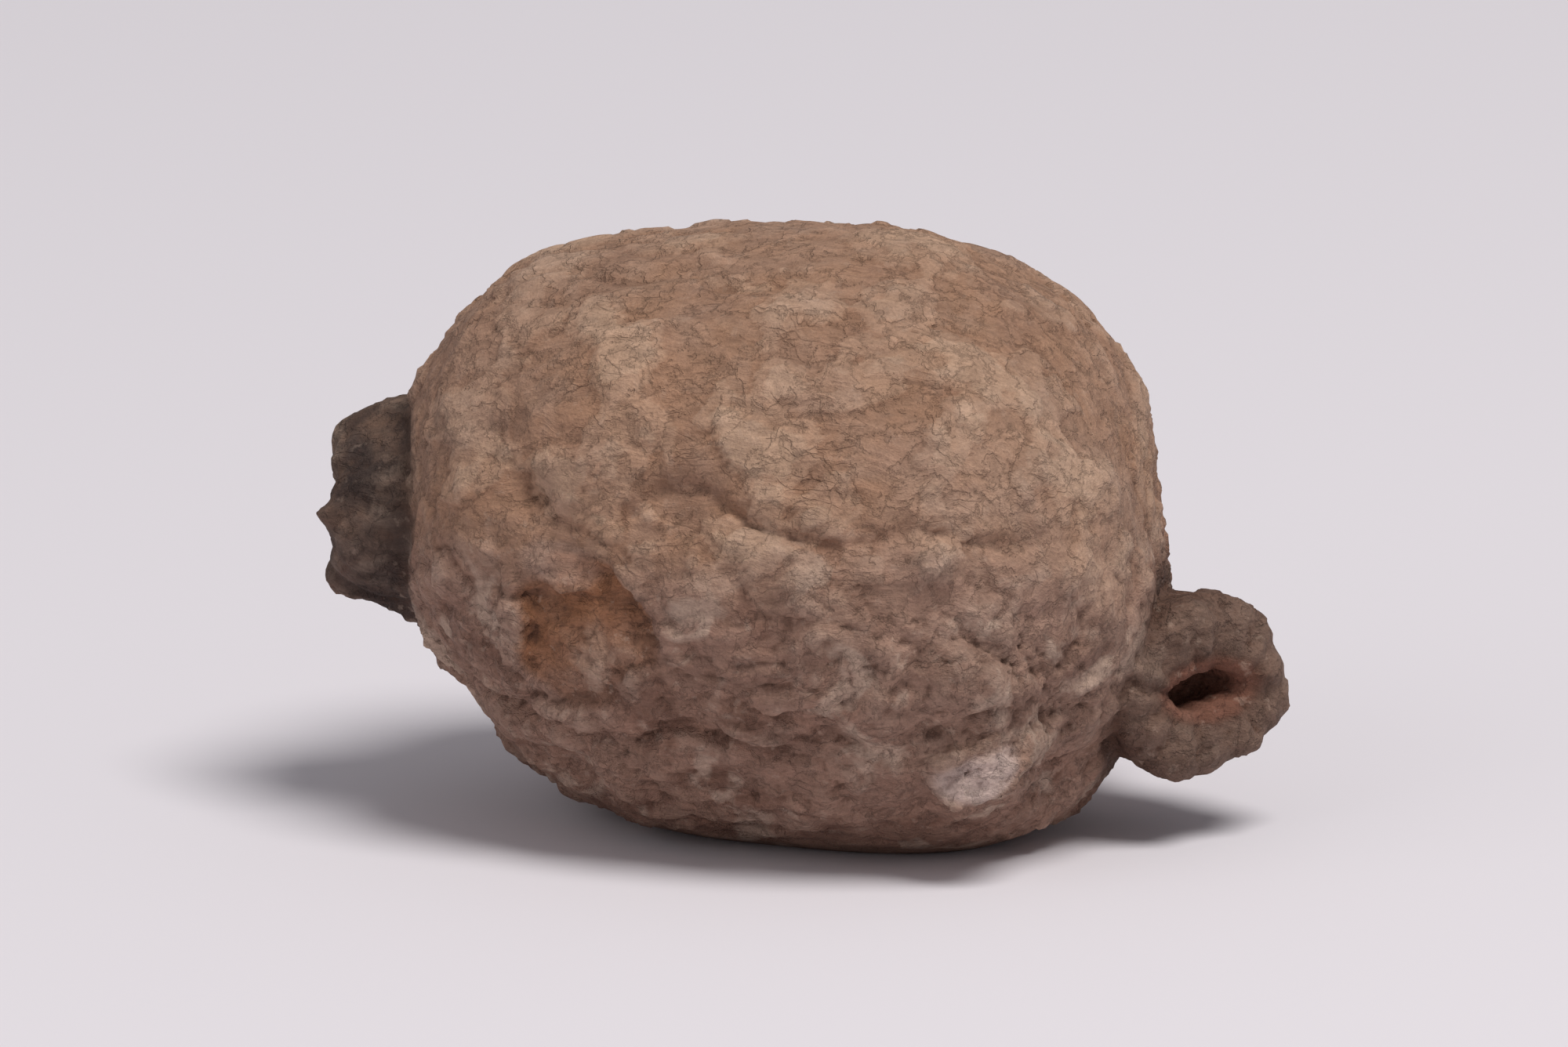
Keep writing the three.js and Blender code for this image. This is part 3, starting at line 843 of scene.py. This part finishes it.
def coat_colour(n):
    """The coat's broad colours: papery layers, stains, bare patches, cups and chips. The darker lower side
    is partly painted shade, and the pale lips are partly a painted highlight.
    """
    layers, low = n.attribute("layers"), n.attribute("low")
    base = n.painted(UNDER_SKIN, SKIN, n.ranged(layers, 0.0, ONE_LAYER))
    base = n.painted(base, PALE_SKIN, n.ranged(layers, ONE_LAYER, 1.0))
    base = n.painted(base, GREY_SKIN, n.marks("grey"))
    # The darker lower side: partly its own darker skin, partly painted shade.
    base = n.painted(base, LOW_SKIN_AND_SHADE, low, COVER["low"])
    base = n.painted(base, STAIN, n.marks("stained"), n.between(low, STAINED_STRENGTHS))
    base = n.painted(base, PALE_DUST_AND_HIGHLIGHT, n.marks("pale"), n.between(low, PALE_STRENGTHS))
    base = n.painted(base, BARE, n.marks("bare"), n.attribute("flaked"))
    base = n.painted(base, CALYX_SKIN, n.attribute("calyx"), COVER["calyx"])
    base = n.painted(base, SCORCHED, n.attribute("collar"), n.marks("charred"))
    # Pale calyx lips: partly dust, partly a painted highlight.
    base = n.painted(base, PALE_DUST_AND_HIGHLIGHT, n.attribute("lips"), COVER["lips"])
    base = n.painted(base, MOUTH, n.attribute("mouth"), COVER["mouth"])
    return n.painted(base, CHIP_SKIN, n.attribute("chip"), COVER["chip"])


def painted_shade_and_dust_colour(n, base, coarse):
    """The same with painted shade in the hollows, pale dust and a painted highlight on what stands out,
    and fine specks.
    """
    groove, valley = n.attribute("groove"), n.attribute("valley")
    # Painted shade: the hollows are darkened the deeper they lie below the coat round about.
    hollow_shade = n.maths("MAXIMUM", n.ranged(groove, *GROOVE_SHADE_LEVELS), n.ranged(valley, *VALLEY_SHADE_LEVELS))
    base = n.painted(base, DARK_MARK_AND_HOLLOW_SHADE, hollow_shade, coarse, COVER["shaded_hollows"])
    # Pale ridges: partly dust, partly a painted highlight on what stands out.
    high = n.ranged(valley, *RIDGE_DUST_AND_HIGHLIGHT_LEVELS)
    ridge_dust_and_highlight_strength = n.between(n.attribute("calyx"), RIDGE_DUST_AND_HIGHLIGHT_STRENGTHS)
    base = n.painted(base, PALE_DUST_AND_HIGHLIGHT, high, n.marks("dusty"), ridge_dust_and_highlight_strength)
    base = n.painted(base, PALE_DUST_AND_HIGHLIGHT, n.marks("pale specks"), coarse)
    return n.painted(base, DARK_MARK_AND_HOLLOW_SHADE, n.marks("dark specks"), coarse)


def seed_coat():
    """The dried, dusty coat, with painted shade in its hollows and its finest detail as tone and as bumps.
    """
    n = Nodes("seed_coat")
    coarse = n.between(n.attribute("roughened"), COARSE_STRENGTHS)
    off_chips = n.between(n.attribute("chip"), (1.0, 0.0))
    details = {
        "bumps": n.product(n.noise(**BUMPS), coarse),
        "fibres": n.stretched(**FIBROUS),
        "scales": n.marks("scales"),
        "cracks": n.product(n.cracks(**CRACKS), n.marks("cracked"), off_chips),
        "grain": n.noise(**GRAIN),
        "skin fibres": n.attribute("fibre"),
    }
    base = painted_shade_and_dust_colour(n, coat_colour(n), coarse)
    base = n.painted(base, DARK_MARK_AND_HOLLOW_SHADE, details["cracks"], COVER["cracks"])
    tone = n.product(*[n.ranged(details[name], *change) for name, change in TONES.items()])
    tint = n.add("ShaderNodeCombineColor", {"Red": tone, "Green": tone, "Blue": tone}).outputs[0]
    base = n.mixed(1.0, base, tint, blend="MULTIPLY")
    height = n.total(*[n.product(details[name], height) for name, height in HEIGHTS.items()])
    bump = n.add("ShaderNodeBump", {"Height": height, "Strength": 1.0, "Distance": MM})
    return n.dull_surface({
        "Base Color": base, "Roughness": n.marks("dull"), "Specular IOR Level": 0.3,
        "Normal": bump.outputs["Normal"]})


# The photograph's camera: a lens of PHOTO_FOCAL pixels, PHOTO_DISTANCE metres from this seed.
# The render frames the PHOTO_WINDOW pixels of the photograph's width that are round the seed.
PHOTO_FOCAL = 3036
PHOTO_WINDOW = 200
PHOTO_DISTANCE = 0.443
AZIMUTH = 18
ELEVATION = 13
AIM_RISE = 0.25 * MM
SENSOR_WIDTH = 36
NEAREST_SEEN = 0.01

# The studio. Lengths are in metres and angles in degrees round the seed.
FLOOR_REACH = 3
FLOOR_COLOUR = colour(0.775, 0.74, 0.78)
SKY_COLOUR = colour(0.96, 0.95, 1.0)
SKY_STRENGTH = 0.28
KEY_LIGHT = {
    "azimuth": 60, "elevation": 64, "distance": 0.5, "size": 0.24, "watts": 1.98,
    "tint": (1.0, 0.985, 0.96),
}
FILL_LIGHT = {
    "azimuth": -35, "elevation": 30, "distance": 0.6, "size": 0.5, "watts": 0.4,
    "tint": (1.0, 1.0, 1.0),
}


def direction_to(azimuth, elevation):
    """The way to a place round the seed, for angles in degrees."""
    a, e = math.radians(azimuth), math.radians(elevation)
    return Vector((math.sin(a) * math.cos(e), -math.cos(a) * math.cos(e), math.sin(e)))


def look_at(holder, target):
    holder.rotation_euler = (Vector(target) - holder.location).to_track_quat("-Z", "Y").to_euler()


def add_camera(target):
    """The camera, aimed a little above the seed's middle."""
    camera = bpy.data.cameras.new("camera")
    camera.sensor_width = SENSOR_WIDTH
    camera.lens = SENSOR_WIDTH * PHOTO_FOCAL / PHOTO_WINDOW
    camera.clip_start = NEAREST_SEEN
    holder = new_object("camera", camera)
    target = target + Vector((0, 0, AIM_RISE))
    holder.location = target + direction_to(AZIMUTH, ELEVATION) * PHOTO_DISTANCE
    look_at(holder, target)
    bpy.context.scene.camera = holder


def pale_floor():
    n = Nodes("floor")
    return n.dull_surface({"Base Color": FLOOR_COLOUR, "Roughness": 0.75, "Specular IOR Level": 0.2})


def add_floor():
    shape = bmesh.new()
    bmesh.ops.create_grid(shape, x_segments=1, y_segments=1, size=FLOOR_REACH)
    mesh = bpy.data.meshes.new("floor")
    shape.to_mesh(mesh)
    shape.free()
    mesh.materials.append(pale_floor())
    floor = new_object("floor", mesh)


def add_light(name, azimuth, elevation, distance, size, watts, tint):
    """A round soft light that faces the seed."""
    lamp = bpy.data.lights.new(name, "AREA")
    lamp.shape = "DISK"
    lamp.size = size
    lamp.energy = watts
    lamp.color = tint
    holder = new_object(name, lamp)
    holder.location = direction_to(azimuth, elevation) * distance
    look_at(holder, (0, 0, 0))


def add_sky():
    world = bpy.data.worlds.new("world")
    world.use_nodes = True
    background = world.node_tree.nodes["Background"]
    background.inputs["Color"].default_value = SKY_COLOUR
    background.inputs["Strength"].default_value = SKY_STRENGTH
    bpy.context.scene.world = world


bpy.context.scene.view_settings.view_transform = "Standard"
add_floor()
add_light("key", **KEY_LIGHT)
add_light("fill", **FILL_LIGHT)
add_sky()

skin, body_centre = seed_skin()
skin.data.materials.append(seed_coat())
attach(skin, "root")
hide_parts("seed")
add_camera(body_centre)
